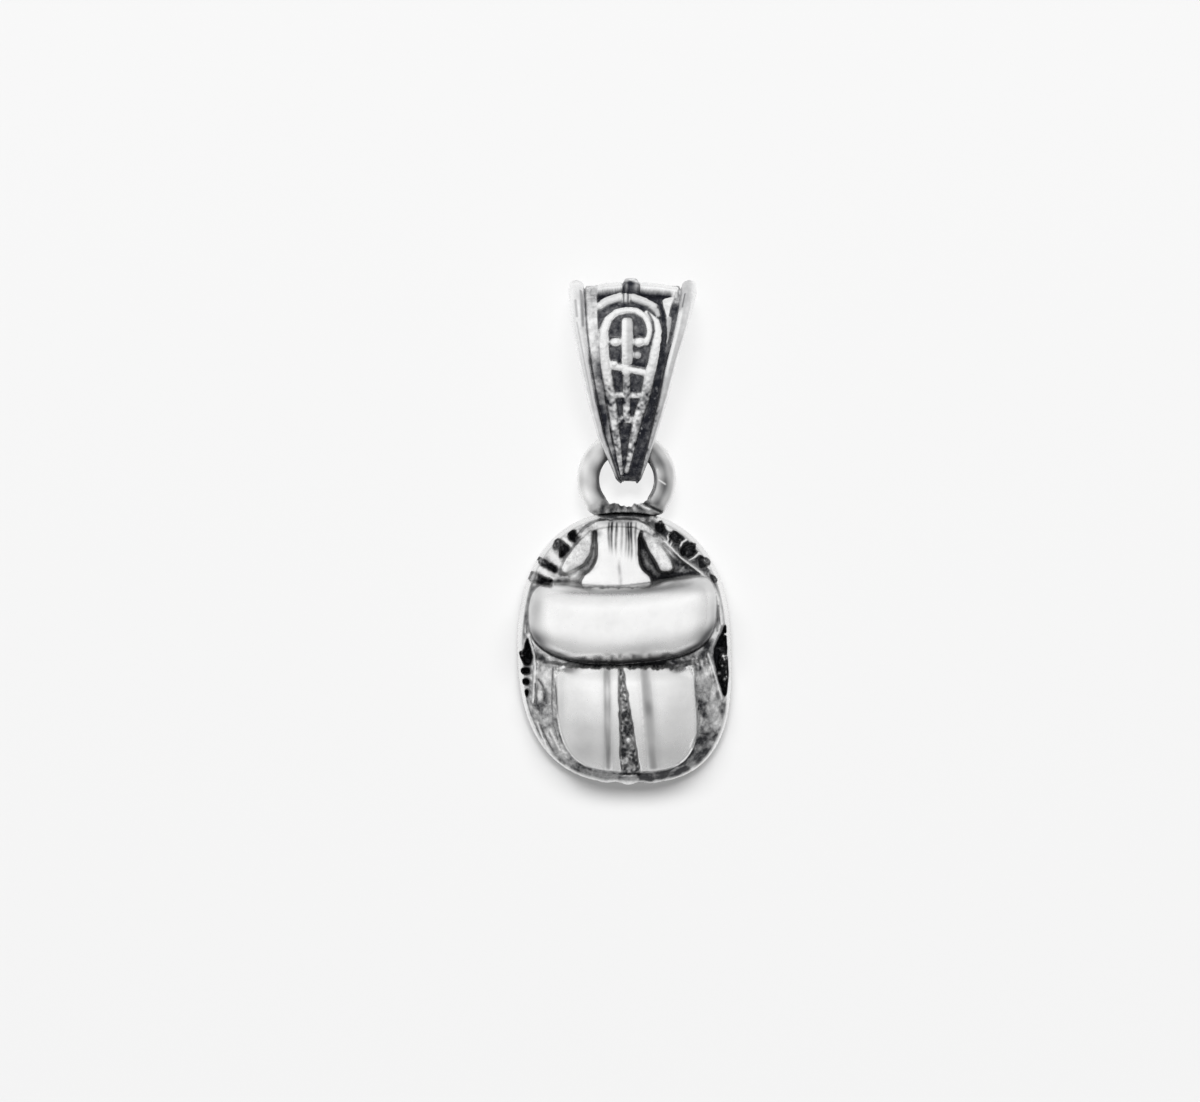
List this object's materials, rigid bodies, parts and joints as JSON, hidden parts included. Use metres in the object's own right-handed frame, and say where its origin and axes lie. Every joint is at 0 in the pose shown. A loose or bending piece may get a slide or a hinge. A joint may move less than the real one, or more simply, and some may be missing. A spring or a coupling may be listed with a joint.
{
  "type": "scarab amulet",
  "caption": "Carved scarab amulet with a flat back, a soldered ring at its head and a tapered folded bail that hangs loose on the ring.",
  "frame": {"origin": "under the middle of the scarab's plan, on its flat back", "axes": "+Z out of the carved face, +Y from the scarab's rear to its head and on to the bail, +X to the right seen from the front"},
  "size_m": [0.0143, 0.0337, 0.0061],
  "materials": {
    "cast_silver": "cast silver, polished high, dark in its hollows",
    "silver_wire": "polished round silver wire",
    "darkened_silver_leaf": "darkened silver with rubbed edges"
  },
  "bodies": {
    "root": {"scarab": "cast_silver", "ring": "silver_wire", "bail": "darkened_silver_leaf"}
  },
  "joints": []
}
